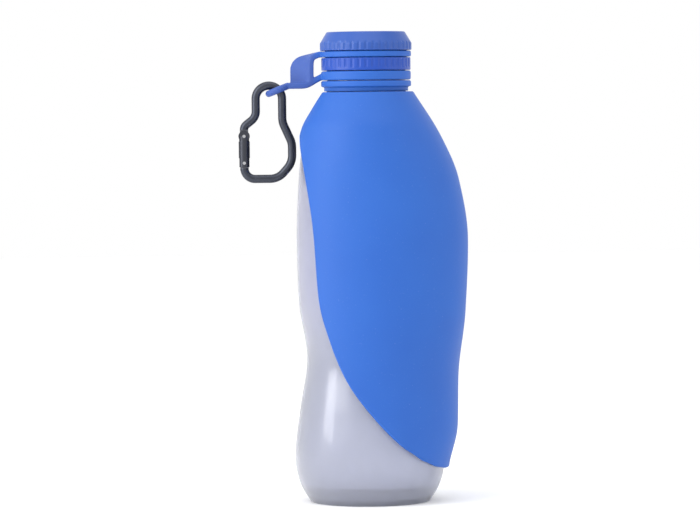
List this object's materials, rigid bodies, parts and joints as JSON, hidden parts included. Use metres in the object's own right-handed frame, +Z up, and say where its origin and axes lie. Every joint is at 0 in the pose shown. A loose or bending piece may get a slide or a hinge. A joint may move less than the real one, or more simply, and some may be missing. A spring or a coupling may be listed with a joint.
{
  "type": "dog travel water bottle",
  "caption": "Squeeze bottle with a screw cap on a tether, a soft leaf-shaped drinking scoop that wraps the bottle, and a sprung hanging clip.",
  "frame": {"origin": "middle of the bottle's foot, on the bottle's axis, in the plane it stands on", "axes": "+Z up along the bottle's axis, +X towards the leaf's bulge, -X towards the tether and the carabiner"},
  "size_m": [0.1145, 0.0802, 0.235],
  "materials": {
    "frosted_plastic": "frosted clear blow-moulded plastic",
    "blue_silicone": "matte blue moulded silicone",
    "blue_cap_plastic": "satin blue moulded plastic",
    "seal_rubber": "translucent white silicone",
    "gunmetal_aluminium": "grey anodised aluminium",
    "steel": "bright stainless steel"
  },
  "bodies": {
    "bottle": {"bottle_body": "frosted_plastic", "leaf_collar": "blue_silicone", "tether_neck_ring": "blue_silicone", "tether_loop": "blue_silicone"},
    "leaf": {"leaf_blade": "blue_silicone"},
    "cap_carrier": {"tether_cap_ring": "blue_silicone"},
    "cap": {"cap_shell": "blue_cap_plastic", "cap_seal": "seal_rubber"},
    "carabiner": {"carabiner_frame": "gunmetal_aluminium"},
    "gate": {"carabiner_gate": "gunmetal_aluminium", "gate_pin": "steel", "gate_latch_pin": "steel", "gate_spring": "steel"},
    "plunger": {"gate_plunger": "steel"}
  },
  "joints": [
    {"name": "leaf_flip", "type": "hinge", "parent": "bottle", "child": "leaf", "pos_m": [0, 0, 0.20525], "axis": [1, 0, 0], "range_deg": [0, 180], "deforming": ["leaf_blade"]},
    {"name": "cap_lift", "type": "slide", "parent": "bottle", "child": "cap_carrier", "axis": [0, 0, 1], "range_m": [0, 0.0135], "deforming": ["tether_loop"]},
    {"name": "cap_turn", "type": "hinge", "parent": "cap_carrier", "child": "cap", "pos_m": [0, 0, 0.2169], "axis": [0, 0, 1], "range_deg": [0, 1080]},
    {"name": "carabiner_swing", "type": "hinge", "parent": "bottle", "child": "carabiner", "pos_m": [-0.0487, 0, 0.20458], "axis": [0, 1, 0], "range_deg": [0, 120]},
    {"name": "gate_open", "type": "hinge", "parent": "carabiner", "child": "gate", "pos_m": [-0.0613, 0, 0.18348], "axis": [0, -1, 0], "range_deg": [0, 45], "stiffness_Nm_per_rad": 0.04, "springref_deg": -34.38},
    {"name": "plunger_slide", "type": "slide", "parent": "gate", "child": "plunger", "axis": [0, 0, -1], "range_m": [0, 0.00025], "deforming": ["gate_spring"]}
  ],
  "couplings": [
    {"joint": "cap_lift", "follows": "cap_turn", "m_per_rad": 0.0007162},
    {"joint": "plunger_slide", "follows": "gate_open", "m_per_rad": 0.000318}
  ]
}
